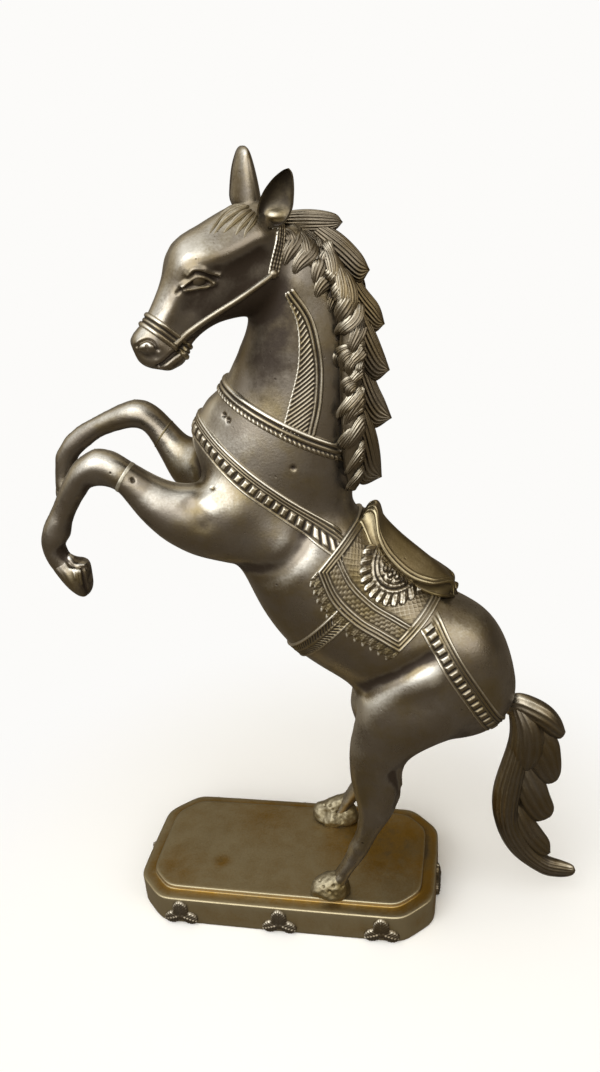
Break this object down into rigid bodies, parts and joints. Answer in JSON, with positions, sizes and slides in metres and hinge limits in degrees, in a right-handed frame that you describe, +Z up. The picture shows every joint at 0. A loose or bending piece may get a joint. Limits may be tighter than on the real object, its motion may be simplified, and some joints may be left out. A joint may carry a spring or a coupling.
{
  "type": "horse sculpture",
  "caption": "Rearing horse in antique brass with parade saddle, blanket and harness, standing on its hind hooves on a stepped base with cut corners.",
  "frame": {"origin": "on the plane that the base rests on, under the middle of the whole statue's box", "axes": "+X from the horse's chest towards its tail, +Y towards its far (right) side, +Z up"},
  "size_m": [0.266, 0.0892, 0.389],
  "materials": {
    "casting_brass": "antique patina, worn bright on the high places",
    "dark_brass": "antique patina, dark in the chased lines",
    "tack_brass": "worn bright on the ridges and studs, dark between them",
    "base_brass": "golden olive patina, satin",
    "brazing": "pale, pitted and lumpy",
    "core_clay": "fired clay, matt"
  },
  "bodies": {
    "root": {"base_plinth": "base_brass", "front_plaque_left": "dark_brass", "front_plaque_middle": "dark_brass", "front_plaque_right": "dark_brass", "back_plaque_left": "dark_brass", "back_plaque_middle": "dark_brass", "back_plaque_right": "dark_brass", "left_end_plaque": "dark_brass", "right_end_plaque": "dark_brass", "forequarters": "casting_brass", "hindquarters": "casting_brass", "fore_core": "core_clay", "hind_core": "core_clay", "near_foreleg": "casting_brass", "far_foreleg": "casting_brass", "near_foreleg_braze": "brazing", "far_foreleg_braze": "brazing", "near_hind_leg": "casting_brass", "far_hind_leg": "casting_brass", "near_hoof_braze": "brazing", "far_hoof_braze": "brazing", "neck": "casting_brass", "head": "casting_brass", "near_ear": "dark_brass", "far_ear": "casting_brass", "forelock": "dark_brass", "noseband": "tack_brass", "near_cheek_strap": "tack_brass", "far_cheek_strap": "tack_brass", "mane_crest": "dark_brass", "near_mane_locks": "dark_brass", "far_mane_locks": "dark_brass", "tail": "dark_brass", "neck_collar": "tack_brass", "near_neck_garland": "tack_brass", "far_neck_garland": "tack_brass", "breast_strap": "tack_brass", "near_crupper_strap": "tack_brass", "far_crupper_strap": "tack_brass", "girth": "tack_brass", "saddle_blanket": "tack_brass", "saddle": "casting_brass", "near_saddle_flap": "tack_brass", "far_saddle_flap": "tack_brass"}
  },
  "joints": []
}
